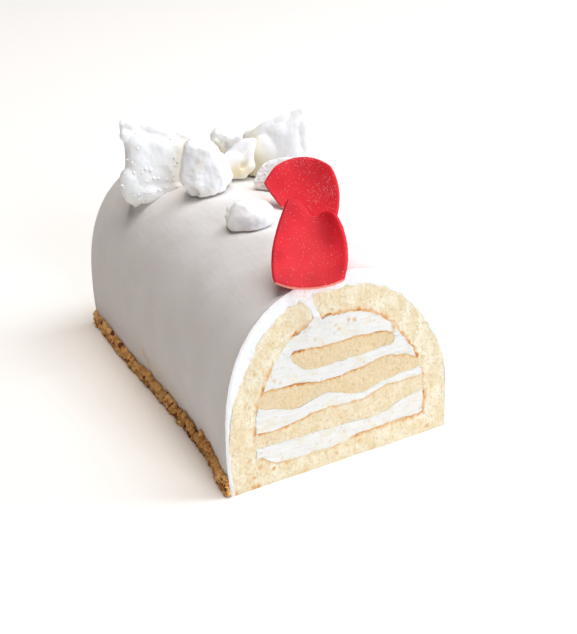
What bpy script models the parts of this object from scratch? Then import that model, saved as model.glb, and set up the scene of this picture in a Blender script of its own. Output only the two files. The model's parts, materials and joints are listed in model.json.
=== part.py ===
"""Yule log cake: a sponge wrapped round layers of sponge and cream, coated in whipped cream,
with meringue and two red petals on top.

The log lies along Y, rests on Z = 0 and shows its cut front end at -Y. All sizes are metres.
"""

import math
from dataclasses import dataclass

import bmesh
import bpy
from mathutils import Matrix, Vector, noise

# Clearance kept between neighbouring pieces.
GAP = 0.0003

# The log: outline of the cream coat and the two cuts across it.
LOG_HALF_WIDTH = 0.0425
LOG_HEIGHT = 0.0665
LOG_LENGTH = 0.1405
FRONT_SKEW = math.radians(9.6)
BACK_SKEW = math.radians(-2.6)
FOOT_TUCK = 0.0012
PETAL_OVERHANG = 0.0013  # how far the front petal stands out past the front cut
SHOULDER = {"right": (0.0180, 2.09), "left": (0.0170, 2.56)}  # straight side height, roundness
ARCH_STEPS = 26

# Cream coat and sponge wrap.
COAT_AT_FOOT = 0.0012
COAT_ON_TOP = 0.0050
COAT_THICKENS = (0.018, 0.052)  # heights between which the coat grows
COAT_WAVE = 0.0005
COAT_STATIONS = 9
WRAP_THICKNESS = 0.0093

# Where the two ends of the wrap meet on the upper left.
SEAM_OUTER_LEFT = -0.0200
SEAM_OUTER_RIGHT = -0.0125
SEAM_INNER_LEFT = -0.0169
SEAM_INNER_RIGHT = -0.0077
WRAP_END = [(-0.0155, 0.0603), (-0.0114, 0.0572), (-0.0099, 0.0536)]
WRAP_END_INSIDE = [(-0.0123, 0.0508)]

# Boundaries between the layers, each a smooth line through (x, z) from left to right.
FLOOR_TOP = [(-0.030, 0.0105), (-0.024, 0.0072), (-0.010, 0.0065), (0.000, 0.0066),
             (0.010, 0.0082), (0.033, 0.0080)]
LAYER_3_BOTTOM = [(-0.034, 0.0137), (-0.014, 0.0135), (0.003, 0.0128), (0.014, 0.0124),
                  (0.027, 0.0160), (0.035, 0.0162)]
LAYER_3_TOP = [(-0.034, 0.0198), (-0.023, 0.0189), (-0.008, 0.0211), (0.006, 0.0203),
               (0.018, 0.0226), (0.035, 0.0218)]
LAYER_2_BOTTOM = [(-0.034, 0.0288), (-0.023, 0.0255), (-0.016, 0.0240), (-0.006, 0.0262),
                  (0.006, 0.0226), (0.018, 0.0245), (0.034, 0.0257)]
LAYER_2_TOP = [(-0.032, 0.0334), (-0.018, 0.0328), (-0.007, 0.0311), (0.004, 0.0314),
               (0.019, 0.0328), (0.034, 0.0278)]
LAYER_1_TIPS = ((-0.0186, 0.0424), (0.0204, 0.0390))
LAYER_1_TOP = [(-0.0165, 0.0440), (-0.0045, 0.0430), (0.0080, 0.0431), (0.0178, 0.0415)]
LAYER_1_BOTTOM = [(-0.0160, 0.0384), (-0.0095, 0.0359), (0.0020, 0.0361), (0.0185, 0.0365)]
LINE_STEPS = 5
LEAST_STEP = 0.0005  # outline points nearer than this to the one before are left out

COLOURS = {
    "cream": ((0.90, 0.88, 0.85), 0.55),
    "filling": ((0.92, 0.88, 0.80), 0.60),
    "sponge": ((0.85, 0.68, 0.42), 0.90),
    "meringue": ((0.92, 0.90, 0.86), 0.75),
    "petal_red": ((0.75, 0.02, 0.03), 0.35),
}

SKEW_REACH = LOG_HALF_WIDTH * (math.tan(FRONT_SKEW) + math.tan(BACK_SKEW))
FRONT_Y = (SKEW_REACH + PETAL_OVERHANG - LOG_LENGTH) / 2


def clear_scene():
    """Remove everything that the file opened with."""
    for item in list(bpy.data.objects):
        bpy.data.objects.remove(item, do_unlink=True)


def new_collection(name):
    """Return a new collection linked to the scene."""
    collection = bpy.data.collections.new(name)
    bpy.context.scene.collection.children.link(collection)
    return collection


def material(name, kind):
    """Return a plain Principled material in one of the cake's colours."""
    colour, roughness = COLOURS[kind]
    finish = bpy.data.materials.new(name)
    finish.use_nodes = True
    shader = finish.node_tree.nodes["Principled BSDF"]
    shader.inputs["Base Color"].default_value = (*colour, 1.0)
    shader.inputs["Roughness"].default_value = roughness
    shader.inputs["Metallic"].default_value = 0.0
    return finish


# ---- outlines across the log, as lists of (x, z) -------------------------------------------

def smoothstep(low, high, value):
    """Return 0 below low, 1 above high and a smooth rise between them."""
    t = min(max((value - low) / (high - low), 0.0), 1.0)
    return t * t * (3.0 - 2.0 * t)


def half_arch(side):
    """Return one side of the coat's outline from its foot to just short of the crown."""
    straight, roundness = SHOULDER[side]
    sign = 1.0 if side == "right" else -1.0
    points = []
    for step in range(4):
        share = step / 4
        tuck = FOOT_TUCK * (1.0 - share) ** 2 if side == "left" else 0.0
        points.append((sign * (LOG_HALF_WIDTH - tuck), straight * share))
    for step in range(ARCH_STEPS):
        turn = math.pi / 2 * step / ARCH_STEPS
        x = LOG_HALF_WIDTH * math.cos(turn) ** (2 / roundness)
        z = straight + (LOG_HEIGHT - straight) * math.sin(turn) ** (2 / roundness)
        points.append((sign * x, z))
    return points


def arch():
    """Return the coat's outline from the right foot over the crown to the left foot."""
    return half_arch("right") + [(0.0, LOG_HEIGHT)] + half_arch("left")[::-1]


def coat_thickness(z):
    """Return the thickness of the cream coat at a height."""
    return COAT_AT_FOOT + (COAT_ON_TOP - COAT_AT_FOOT) * smoothstep(*COAT_THICKENS, z)


def inset_arch(extra):
    """Return the arch moved in by the coat's thickness and a further distance."""
    points = arch()
    moved = []
    for index, (x, z) in enumerate(points):
        before = points[max(index - 1, 0)]
        after = points[min(index + 1, len(points) - 1)]
        along = Vector((after[0] - before[0], after[1] - before[1])).normalized()
        if index in (0, len(points) - 1):
            along = Vector((0.0, 1.0 if index == 0 else -1.0))
        distance = coat_thickness(z) + extra
        moved.append((x - along.y * distance, z + along.x * distance))
    return moved


def smooth_line(points):
    """Return a Catmull-Rom line through the points, its ends included."""
    ends = [points[0], *points, points[-1]]
    line = []
    for a, b, c, d in zip(ends, ends[1:], ends[2:], ends[3:]):
        for step in range(LINE_STEPS):
            t = step / LINE_STEPS
            line.append(tuple(
                0.5 * (2 * q + (r - p) * t + (2 * p - 5 * q + 4 * r - s) * t * t
                       + (3 * q - p - 3 * r + s) * t ** 3)
                for p, q, r, s in zip(a, b, c, d)))
    return line + [points[-1]]


def height_on(line, x):
    """Return the height of a left-to-right line at x."""
    for (x0, z0), (x1, z1) in zip(line, line[1:]):
        if x0 <= x <= x1:
            return z0 + (z1 - z0) * (x - x0) / (x1 - x0)
    return line[0][1] if x < line[0][0] else line[-1][1]


def wall_crossing(wall, line):
    """Return the first point where a wall, taken from its foot up, rises above a line."""
    for (x0, z0), (x1, z1) in zip(wall, wall[1:]):
        under, over = z0 - height_on(line, x0), z1 - height_on(line, x1)
        if under <= 0.0 < over:
            share = under / (under - over)
            return (x0 + (x1 - x0) * share, z0 + (z1 - z0) * share)
    raise ValueError("the line does not meet the wall")


class Section:
    """The outlines across the log, drawn edge to edge."""

    def __init__(self):
        outer, inner = inset_arch(0.0), inset_arch(WRAP_THICKNESS)
        self.coat = arch()
        self.outer_right = [p for p in outer if p[0] > SEAM_OUTER_RIGHT]
        self.outer_left = [p for p in outer if p[0] < SEAM_OUTER_LEFT]
        self.wall_right = [p for p in inner if p[0] > SEAM_INNER_RIGHT]
        self.wall_left = [p for p in inner if p[0] < SEAM_INNER_LEFT][::-1]
        self.bulge = smooth_line([self.outer_left[0], *WRAP_END])[1:]
        self.bulge_inside = smooth_line([WRAP_END[-1], *WRAP_END_INSIDE, self.wall_left[-1]])[1:-1]
        self.floor = smooth_line(FLOOR_TOP)

    def across(self, line):
        """Return a line cut to run from the left wall to the right wall."""
        left = wall_crossing(self.wall_left, line)
        right = wall_crossing(self.wall_right, line)
        return [left, *[p for p in line if left[0] < p[0] < right[0]], right]

    def between(self, low, high):
        """Return the outline between two lines and the walls of the wrap."""
        low, high = self.across(low), self.across(high)
        right = [p for p in self.wall_right if low[-1][1] < p[1] < high[-1][1]]
        left = [p for p in self.wall_left if low[0][1] < p[1] < high[0][1]]
        return low + right + high[::-1] + left[::-1]

    def wrap(self):
        """Return the outline of the sponge sheet that goes all the way round."""
        floor = self.across(self.floor)
        left = [p for p in self.wall_left if p[1] > floor[0][1]]
        right = [p for p in self.wall_right if p[1] > floor[-1][1]]
        outside = self.outer_right[::-1] + self.outer_left[::-1]
        return outside + self.bulge + self.bulge_inside + left[::-1] + floor + right

    def coating(self):
        """Return the coat's outline, with the tongue of cream in the seam."""
        tongue = [self.wall_right[-1]]
        return self.coat + self.outer_left[::-1] + self.bulge + tongue + self.outer_right[::-1]

    def layer_1(self):
        """Return the lower and upper lines of the short top layer, tip to tip."""
        left, right = LAYER_1_TIPS
        return (smooth_line([left, *LAYER_1_BOTTOM, right]), smooth_line([left, *LAYER_1_TOP, right]))

    def beside_layer_1(self, line):
        """Return a line of the top layer carried on to both walls."""
        (left_x, left_z), (right_x, right_z) = LAYER_1_TIPS
        return [(left_x - 0.02, left_z), *line, (right_x + 0.02, right_z)]

    def dome(self):
        """Return the outline of the cream between the top layer and the wrap's roof."""
        low = self.across(self.beside_layer_1(self.layer_1()[1]))
        right = [p for p in self.wall_right if p[1] > low[-1][1]]
        left = [p for p in self.wall_left if p[1] > low[0][1]]
        roof = [self.bulge[-1], *self.bulge_inside]
        return low + right + roof + left[::-1]


def area(outline):
    """Return the signed area of a closed outline."""
    following = outline[1:] + outline[:1]
    return sum(x0 * z1 - x1 * z0 for (x0, z0), (x1, z1) in zip(outline, following)) / 2


def spaced(outline):
    """Return a closed outline without the points that crowd the one before them."""
    kept = []
    for point in outline:
        if not kept or math.dist(point, kept[-1]) > LEAST_STEP:
            kept.append(point)
    return kept if math.dist(kept[0], kept[-1]) > LEAST_STEP else kept[:-1]


def shrink(outline, distance):
    """Return a closed outline moved in by a distance, with mitred corners and its foot on the
    ground."""
    outline = spaced(outline)
    turn = 1.0 if area(outline) > 0.0 else -1.0
    moved = []
    for index, here in enumerate(outline):
        before, after = outline[index - 1], outline[(index + 1) % len(outline)]
        arrive = Vector((here[0] - before[0], here[1] - before[1])).normalized()
        leave = Vector((after[0] - here[0], after[1] - here[1])).normalized()
        mitre = (Vector((-arrive.y, arrive.x)) + Vector((-leave.y, leave.x))).normalized()
        reach = distance / max(mitre.dot(Vector((-leave.y, leave.x))), 0.5)
        lift = turn * mitre.y * reach if here[1] > 0.0 else 0.0
        moved.append((here[0] + turn * mitre.x * reach, here[1] + lift))
    return moved


# ---- solids --------------------------------------------------------------------------------

def front_y(x):
    """Return the Y of the front cut at x."""
    return FRONT_Y + x * math.tan(FRONT_SKEW)


def back_y(x):
    """Return the Y of the back cut at x."""
    return FRONT_Y + LOG_LENGTH + x * math.tan(BACK_SKEW)


def bar(name, outline, finish, collection, overrun=0.0):
    """Extrude an outline along the log and bring its ends to the two cuts."""
    curve = bpy.data.curves.new(name, "CURVE")
    curve.dimensions = "2D"
    curve.fill_mode = "BOTH"
    curve.extrude = LOG_LENGTH / 2
    spline = curve.splines.new("POLY")
    spline.points.add(len(outline) - 1)
    for point, (x, z) in zip(spline.points, outline):
        point.co = (x, z, 0.0, 1.0)
    spline.use_cyclic_u = True
    drawn = bpy.data.objects.new(name + "_outline", curve)
    collection.objects.link(drawn)
    bpy.context.view_layer.update()
    evaluated = drawn.evaluated_get(bpy.context.evaluated_depsgraph_get())
    mesh = bpy.data.meshes.new_from_object(evaluated)
    mesh.transform(Matrix.Rotation(math.pi / 2, 4, "X"))
    for vertex in mesh.vertices:
        front = vertex.co.y < 0.0
        vertex.co.y = front_y(vertex.co.x) - overrun if front else back_y(vertex.co.x) + overrun
    bpy.data.objects.remove(drawn, do_unlink=True)
    bpy.data.curves.remove(curve)
    welded = bmesh.new()
    welded.from_mesh(mesh)
    bmesh.ops.remove_doubles(welded, verts=welded.verts, dist=0.00002)
    bmesh.ops.recalc_face_normals(welded, faces=welded.faces)
    welded.to_mesh(mesh)
    welded.free()
    return place(name, mesh, finish, collection)


def place(name, mesh, finish, collection):
    """Name a mesh, give it its finish and put it in a collection."""
    mesh.name = name
    mesh.materials.clear()
    if finish:
        mesh.materials.append(finish)
    mesh.shade_smooth()
    mesh.set_sharp_from_angle(angle=math.radians(35))
    piece = bpy.data.objects.new(name, mesh)
    collection.objects.link(piece)
    return piece


def wave_coat(coat):
    """Cut the coat into stations and press its outside in unevenly along the log."""
    mesh = bmesh.new()
    mesh.from_mesh(coat.data)
    for station in range(1, COAT_STATIONS):
        share = station / COAT_STATIONS
        middle = Vector((0.0, FRONT_Y + LOG_LENGTH * share, 0.0))
        skew = FRONT_SKEW + (BACK_SKEW - FRONT_SKEW) * share
        normal = Vector((-math.sin(skew), math.cos(skew), 0.0))
        geometry = list(mesh.verts) + list(mesh.edges) + list(mesh.faces)
        bmesh.ops.bisect_plane(mesh, geom=geometry, dist=0.00001, plane_co=middle, plane_no=normal)
    outside = [Vector(p) for p in arch()]
    for vertex in mesh.verts:
        flat = Vector((vertex.co.x, vertex.co.z))
        inside_cut = front_y(flat.x) + 0.001 < vertex.co.y < back_y(flat.x) - 0.001
        if inside_cut and min((flat - p).length for p in outside) < GAP:
            inward = Vector((-flat.x, 0.0, LOG_HEIGHT * 0.3 - flat.y)).normalized()
            depth = 0.5 + 0.5 * noise.noise(vertex.co * 45.0)
            vertex.co += inward * COAT_WAVE * depth * smoothstep(0.0, 0.03, flat.y)
    mesh.to_mesh(coat.data)
    mesh.free()


def spot(x, y, z):
    """Return a place given in millimetres across, back from the front cut, and up."""
    return Vector((x / 1000, FRONT_Y + y / 1000, z / 1000))


def rest_on_cream(piece, cream):
    """Cut away what of a topping would sink into the cream."""
    cut = piece.modifiers.new("seat", "BOOLEAN")
    cut.operation = "DIFFERENCE"
    cut.solver = "EXACT"
    cut.object = cream


def pillow(name, corners, thickness, waist, finish, collection):
    """Make a soft slab with four drawn-out corners: lower left, lower right, upper right,
    upper left.

    The edges between the corners pull in by the waist and the middle swells to the thickness.
    """
    low_left, low_right, high_right, high_left = corners
    facing = (low_right - low_left).cross(high_left - low_left).normalized()
    centre = sum(corners, Vector()) / 4
    shape = bmesh.new()
    bmesh.ops.create_cube(shape, size=2.0)
    bmesh.ops.subdivide_edges(shape, edges=shape.edges, cuts=5, use_grid_fill=True)
    for vertex in shape.verts:
        a, c, b = vertex.co
        u, v = (a + 1) / 2, (b + 1) / 2
        flat = (low_left * (1 - u) + low_right * u) * (1 - v)
        flat += (high_left * (1 - u) + high_right * u) * v
        pull = waist * (b * b * (1 - a * a) + a * a * (1 - b * b))
        swell = 0.30 + 0.70 * math.sqrt((1 - a ** 4) * (1 - b ** 4))
        rough = noise.noise(flat * 120.0) * 0.0008
        vertex.co = flat + (centre - flat) * pull + facing * (c * swell * thickness / 2 + rough)
    bmesh.ops.recalc_face_normals(shape, faces=shape.faces)
    mesh = bpy.data.meshes.new(name)
    shape.to_mesh(mesh)
    shape.free()
    return place(name, mesh, finish, collection)


def lump(name, centre, radii, peak, roughness, finish, collection):
    """Make an uneven rounded piece drawn up towards a peak offset from its centre."""
    shape = bmesh.new()
    bmesh.ops.create_uvsphere(shape, u_segments=18, v_segments=12, radius=1.0)
    for vertex in shape.verts:
        unit = vertex.co.copy()
        swell = 1.0 + roughness * noise.noise(unit * 1.7 + centre * 300.0)
        lifted = smoothstep(0.0, 1.0, unit.z) ** 2
        spread = Vector([u * r for u, r in zip(unit, radii)]) * swell
        vertex.co = centre + spread + Vector(peak) * lifted
    bmesh.ops.recalc_face_normals(shape, faces=shape.faces)
    mesh = bpy.data.meshes.new(name)
    shape.to_mesh(mesh)
    shape.free()
    return place(name, mesh, finish, collection)


@dataclass
class PetalSize:
    """A petal's lengths in metres and its shape factors."""

    width: float
    length: float
    thickness: float
    roundness: float
    cup: float
    taper: float = 0.0  # how much wider the top is
    narrow_foot: float = 0.0  # how much narrower the foot is
    foot_shift: float = 0.0  # how far the foot moves to the right
    lean_over: float = 0.0  # how far the top moves to the right
    curl: float = 0.0  # how far the foot bends forward
    notch: float = 0.0
    left_lobe: float = 0.0  # extra height of the left lobe


def petal(name, centre, yaw, lean, size, finish, collection):
    """Make a thin cupped petal, turned by yaw and leaning back, placed by its middle."""
    across = Vector((math.cos(yaw), math.sin(yaw), 0.0))
    behind = Vector((-math.sin(yaw), math.cos(yaw), 0.0))
    along = behind * math.cos(lean) + Vector((0.0, 0.0, math.sin(lean)))
    facing = across.cross(along)
    shape = bmesh.new()
    bmesh.ops.create_grid(shape, x_segments=12, y_segments=12, size=1.0)
    for vertex in shape.verts:
        a, b = vertex.co.x, vertex.co.y
        u = a * math.sqrt(1 - size.roundness * b * b)
        v = b * math.sqrt(1 - size.roundness * a * a)
        high = (v + 1) / 2
        low = 1 - high
        half = size.width / 2 * (1 + size.taper * high ** 2) * (1 - size.narrow_foot * low ** 3)
        dip = (size.notch * math.exp(-abs(u / 0.42) ** 3) + size.left_lobe * u) * high ** 4
        hollow = size.cup * (0.5 + high) * abs(u) ** 2.4 + size.curl * low ** 3
        sideways = size.lean_over * high + size.foot_shift * low ** 3
        vertex.co = centre + across * (half * u + sideways) + facing * hollow
        vertex.co += along * size.length * (v / 2 - dip)
    bmesh.ops.recalc_face_normals(shape, faces=shape.faces)
    mesh = bpy.data.meshes.new(name)
    shape.to_mesh(mesh)
    shape.free()
    piece = place(name, mesh, finish, collection)
    shell = piece.modifiers.new("thickness", "SOLIDIFY")
    shell.thickness = size.thickness
    shell.offset = 0.0
    return piece


# ---- the cake ------------------------------------------------------------------------------

def build_log(cake):
    """Make the coat, the wrap and the layers inside it."""
    section = Section()
    low_1, high_1 = section.layer_1()
    sponge, filling = material("sponge", "sponge"), material("filling", "filling")
    lines = [smooth_line(line) for line in
             (LAYER_3_BOTTOM, LAYER_3_TOP, LAYER_2_BOTTOM, LAYER_2_TOP)]
    stack = [section.floor, *lines, section.beside_layer_1(low_1)]
    outlines = {"sponge_wrap": (section.wrap(), sponge)}
    kinds = ("cream_layer_4", "sponge_layer_3", "cream_layer_3", "sponge_layer_2", "cream_layer_2")
    for name, low, high in zip(kinds, stack, stack[1:]):
        outlines[name] = (section.between(low, high), filling if "cream" in name else sponge)
    outlines["sponge_layer_1"] = (low_1 + high_1[-2:0:-1], sponge)
    outlines["cream_layer_1"] = (section.dome(), filling)
    for name, (outline, finish) in outlines.items():
        bar(name, shrink(outline, GAP / 2), finish, cake)
    coat = bar("cream_coat", shrink(section.coating(), GAP / 2), material("coat", "cream"), cake)
    wave_coat(coat)


def build_meringues(cake, cream):
    """Make the white meringue pieces that stand on the back half of the log."""
    white = material("meringue", "meringue")
    wing_left = [spot(-35, 117, 56), spot(-12, 104, 57), spot(-4, 117, 82.5), spot(-34, 120, 90.5)]
    wing_right = [spot(1.5, 107, 64), spot(33, 92, 50), spot(31, 97, 91.5), spot(11, 110, 80)]
    pieces = [
        pillow("meringue_wing_left", wing_left, 0.014, 0.17, white, cake),
        pillow("meringue_wing_right", wing_right, 0.012, 0.15, white, cake),
        lump("meringue_bud_front", spot(-10.5, 92, 70.5), (0.0092, 0.0080, 0.0090),
             (-0.0030, 0.0, 0.0065), 0.25, white, cake),
        lump("meringue_bud_middle", spot(7.0, 119, 70.5), (0.0066, 0.0045, 0.0075),
             (0.001, 0.0, 0.0020), 0.35, white, cake),
        lump("meringue_bud_right", spot(3.6, 97.5, 72.0), (0.0064, 0.0036, 0.0062),
             (0.005, 0.0, 0.0035), 0.30, white, cake),
        lump("meringue_drop", spot(-8.8, 53.5, 67.0), (0.0082, 0.0080, 0.0062),
             (-0.001, 0.0, 0.0015), 0.18, white, cake),
    ]
    for piece in pieces:
        smooth = piece.modifiers.new("smooth", "SUBSURF")
        smooth.levels = smooth.render_levels = 1 if "wing" in piece.name else 0
        rest_on_cream(piece, cream)


def build_petals(cake, cream):
    """Make the red petals and the white one behind them."""
    red, white = material("petal", "petal_red"), material("sugared_petal", "meringue")
    front = PetalSize(width=0.0247, length=0.0300, thickness=0.0012, roundness=0.26, cup=0.0030,
                      taper=-0.38, lean_over=0.0024, curl=0.0025, notch=0.14, left_lobe=0.13)
    rear = PetalSize(width=0.0252, length=0.0320, thickness=0.0012, roundness=0.42, cup=0.0018,
                     narrow_foot=0.70, foot_shift=0.0070)
    curl = PetalSize(width=0.0230, length=0.0220, thickness=0.0024, roundness=0.46, cup=0.0015)
    petals = [
        petal("petal_front", spot(-8.6, 6.4, 73.6), math.radians(-20), math.radians(42),
              front, red, cake),
        petal("petal_rear", spot(13.8, 61.0, 67.6), math.radians(-24), math.radians(55),
              rear, red, cake),
        petal("petal_white", spot(15.9, 81.5, 66.0), math.radians(-24), math.radians(60),
              curl, white, cake),
    ]
    for piece in petals:
        rest_on_cream(piece, cream)


def main():
    """Build the cake and its cutter."""
    clear_scene()
    cake = new_collection("yule_log_cake")
    cutters = new_collection("cutters")
    cream = bar("cream_body", shrink(arch(), -GAP), None, cutters, overrun=GAP)
    cream.display_type = "WIRE"
    cream.hide_render = True
    build_log(cake)
    build_meringues(cake, cream)
    build_petals(cake, cream)


main()
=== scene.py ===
"""Looks of the yule log cake: cut sponge and cream, whipped cream coat, meringue, red petals,
sugar and crumbs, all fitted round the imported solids.

Lengths are metres unless a name says mm. The log lies along Y with its cut front end at -Y.
"""

import json
import logging
import math
from dataclasses import dataclass, field
from enum import Enum
from typing import Callable, Iterable

import bmesh
import bpy
import numpy as np
from mathutils import Matrix, Vector, noise
from mathutils.geometry import delaunay_2d_cdt
from mathutils.kdtree import KDTree

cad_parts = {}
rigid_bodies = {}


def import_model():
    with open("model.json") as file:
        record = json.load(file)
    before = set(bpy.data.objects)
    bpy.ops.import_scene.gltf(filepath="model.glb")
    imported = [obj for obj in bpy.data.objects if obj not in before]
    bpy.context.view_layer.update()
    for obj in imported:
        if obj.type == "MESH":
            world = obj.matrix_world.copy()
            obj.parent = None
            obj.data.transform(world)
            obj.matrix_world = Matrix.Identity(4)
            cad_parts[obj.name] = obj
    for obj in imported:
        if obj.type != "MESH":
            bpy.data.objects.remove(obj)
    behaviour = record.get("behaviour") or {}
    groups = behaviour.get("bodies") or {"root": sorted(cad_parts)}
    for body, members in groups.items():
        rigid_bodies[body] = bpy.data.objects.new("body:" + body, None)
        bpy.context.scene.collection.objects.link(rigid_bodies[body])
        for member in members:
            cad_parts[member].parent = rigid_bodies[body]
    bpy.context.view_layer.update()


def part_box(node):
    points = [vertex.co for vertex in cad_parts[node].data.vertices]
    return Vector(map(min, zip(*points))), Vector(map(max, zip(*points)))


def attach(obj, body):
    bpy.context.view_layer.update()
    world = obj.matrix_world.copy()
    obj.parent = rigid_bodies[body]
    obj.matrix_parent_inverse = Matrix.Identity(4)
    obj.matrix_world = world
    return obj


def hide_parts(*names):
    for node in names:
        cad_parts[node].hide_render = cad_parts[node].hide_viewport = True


LOG = logging.getLogger("yule_log")
MM = 0.001
GAP = 0.0003  # clearance that the solids keep from each other


class End(Enum):
    """The two cut ends of the log."""

    FRONT = -1
    BACK = 1


class Slot(Enum):
    """The record's material slots."""

    COAT = "whipped_cream"
    FILLING = "filling_cream"
    SPONGE = "sponge"
    MERINGUE = "meringue"
    PETAL = "red_petal"
    CRUMBS = "crumbs"
    SUGAR = "sugar"


# ---- shader maths --------------------------------------------------------------------------

class Sock:
    """An output socket whose operators add Math nodes."""

    def __init__(self, shade: "Shade", output: bpy.types.NodeSocket) -> None:
        """Keep the socket and the tree it belongs to."""
        self.shade, self.output = shade, output

    def _math(self, operation: str, *values: "Sock | float", clamp: bool = False) -> "Sock":
        """Return the output of a new Math node."""
        settings = {"operation": operation, "use_clamp": clamp}
        return self.shade.node("ShaderNodeMath", settings, dict(enumerate(values)))

    def __add__(self, other: "Sock | float") -> "Sock":
        """Return self + other."""
        return self._math("ADD", self, other)

    __radd__ = __add__

    def __sub__(self, other: "Sock | float") -> "Sock":
        """Return self - other."""
        return self._math("SUBTRACT", self, other)

    def __rsub__(self, other: float) -> "Sock":
        """Return other - self."""
        return self._math("SUBTRACT", other, self)

    def __mul__(self, other: "Sock | float") -> "Sock":
        """Return self * other."""
        return self._math("MULTIPLY", self, other)

    __rmul__ = __mul__

    def __pow__(self, other: float) -> "Sock":
        """Return self to the power of other."""
        return self._math("POWER", self, other)

    def between(self, low: float, high: float) -> "Sock":
        """Return 0 below low, 1 above high and a smooth rise between them."""
        settings = {"interpolation_type": "SMOOTHSTEP"}
        return self.shade.node("ShaderNodeMapRange", settings, {0: self, 1: low, 2: high})

    def clamped(self) -> "Sock":
        """Return the value kept from 0 to 1."""
        return self._math("ADD", self, 0.0, clamp=True)


class Shade:
    """A material's node tree round one Principled shader."""

    def __init__(self, name: str) -> None:
        """Start a material of that name."""
        self.material = bpy.data.materials.new(name)
        self.material.use_nodes = True
        self.tree = self.material.node_tree
        self.bsdf = self.tree.nodes["Principled BSDF"]
        self.place = self.node("ShaderNodeTexCoord", {}, {}, "Object")

    def node(self, kind: str, settings: dict, inputs: dict, out: int | str = 0) -> Sock:
        """Add a node.

        Args:
            kind: the node's type.
            settings: its properties, and a ramp's stops as (position, colour).
            inputs: values or links of its sockets, by name or index.
            out: which output to return.

        Returns:
            The chosen output.
        """
        made = self.tree.nodes.new(kind)
        for name, value in settings.items():
            if name == "stops":
                ramp = made.color_ramp
                while len(ramp.elements) < len(value):
                    ramp.elements.new(0.5)
                for element, (position, colour) in zip(ramp.elements, value):
                    element.position, element.color = position, (*colour, 1.0)
            else:
                setattr(made, name, value)
        for key, value in inputs.items():
            self.feed(made.inputs[key], value)
        return Sock(self, made.outputs[out])

    def feed(self, socket: bpy.types.NodeSocket, value: "Sock | float | tuple") -> None:
        """Link or set one input socket."""
        if isinstance(value, Sock):
            self.tree.links.new(value.output, socket)
        elif isinstance(value, tuple) and socket.type == "RGBA":
            socket.default_value = (*value, 1.0)
        else:
            socket.default_value = value

    def set(self, **inputs: "Sock | float | tuple") -> "Shade":
        """Feed the Principled shader's sockets, named with _ for each space."""
        for key, value in inputs.items():
            self.feed(self.bsdf.inputs[key.replace("_", " ")], value)
        return self

    def stretched(self, scale: tuple[float, float, float]) -> Sock:
        """Return the object's coordinates scaled along each axis."""
        return self.node("ShaderNodeMapping", {}, {0: self.place, 3: Vector(scale)})

    def noise(self, size: float, detail: float = 3.0, rough: float = 0.55,
              where: Sock | None = None) -> Sock:
        """Return noise from 0 to 1 with features of that size in metres."""
        return self.node("ShaderNodeTexNoise", {}, {"Vector": where or self.place,
                         "Scale": 1.0 / size, "Detail": detail, "Roughness": rough})

    def cells(self, size: float, feature: str = "F1", where: Sock | None = None) -> Sock:
        """Return the distance to the nearest of points scattered that size apart."""
        return self.node("ShaderNodeTexVoronoi", {"feature": feature},
                         {"Vector": where or self.place, "Scale": 1.0 / size})

    def mix(self, share: "Sock | float", first: "Sock | tuple", second: "Sock | tuple") -> Sock:
        """Return a colour mixed from two by share."""
        return self.node("ShaderNodeMix", {"data_type": "RGBA"}, {0: share, 6: first, 7: second}, 2)

    def layer(self, name: str) -> Sock:
        """Return a value painted on the piece's points."""
        return self.node("ShaderNodeAttribute", {"attribute_name": name}, {}, "Fac")

    def bump(self, height: Sock, depth: float, strength: float = 1.0) -> Sock:
        """Return a normal bent by a height from 0 to 1 that is depth metres deep."""
        return self.node("ShaderNodeBump", {}, {"Strength": strength, "Distance": depth,
                                                "Height": height}, "Normal")


# ---- finishes ------------------------------------------------------------------------------

@dataclass(frozen=True)
class CoatFinish:
    """Whipped cream smoothed with a palette knife."""

    bright: tuple = (0.775, 0.735, 0.707)
    shade: tuple = (0.745, 0.700, 0.670)
    crumb: tuple = (0.72, 0.47, 0.22)
    rim: tuple = (0.82, 0.81, 0.80)
    rosy: tuple = (0.86, 0.50, 0.48)

    def build(self) -> bpy.types.Material:
        """Return the material."""
        s = Shade("whipped_cream")
        cloud = s.noise(0.018, 3.0)
        strokes = s.noise(0.0022, 4.0, 0.6, s.stretched((1.0, 0.25, 0.6)))
        grain = s.noise(0.0006, 2.0, 0.6)
        pits = 1.0 - s.cells(0.0042).between(0.04, 0.17)
        rare = s.noise(0.007, 2.0).between(0.52, 0.62)
        base = s.mix(cloud.between(0.35, 0.65), self.shade, self.bright)
        base = s.mix(s.layer("cut"), base, self.rim)
        base = s.mix((s.layer("browned") * (0.55 + 0.9 * grain)).clamped(), base, self.crumb)
        base = s.mix((s.layer("rosy") * grain.between(0.42, 0.62)).clamped(), base, self.rosy)
        height = 0.55 * strokes + 0.18 * grain - 0.75 * pits * rare
        s.set(Base_Color=base, Roughness=0.5 + 0.2 * strokes, Subsurface_Weight=0.25,
              Subsurface_Radius=Vector((0.004, 0.003, 0.0022)), Subsurface_Scale=0.5,
              Specular_IOR_Level=0.35, Normal=s.bump(height, 0.00022, 0.7))
        return s.material


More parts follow.
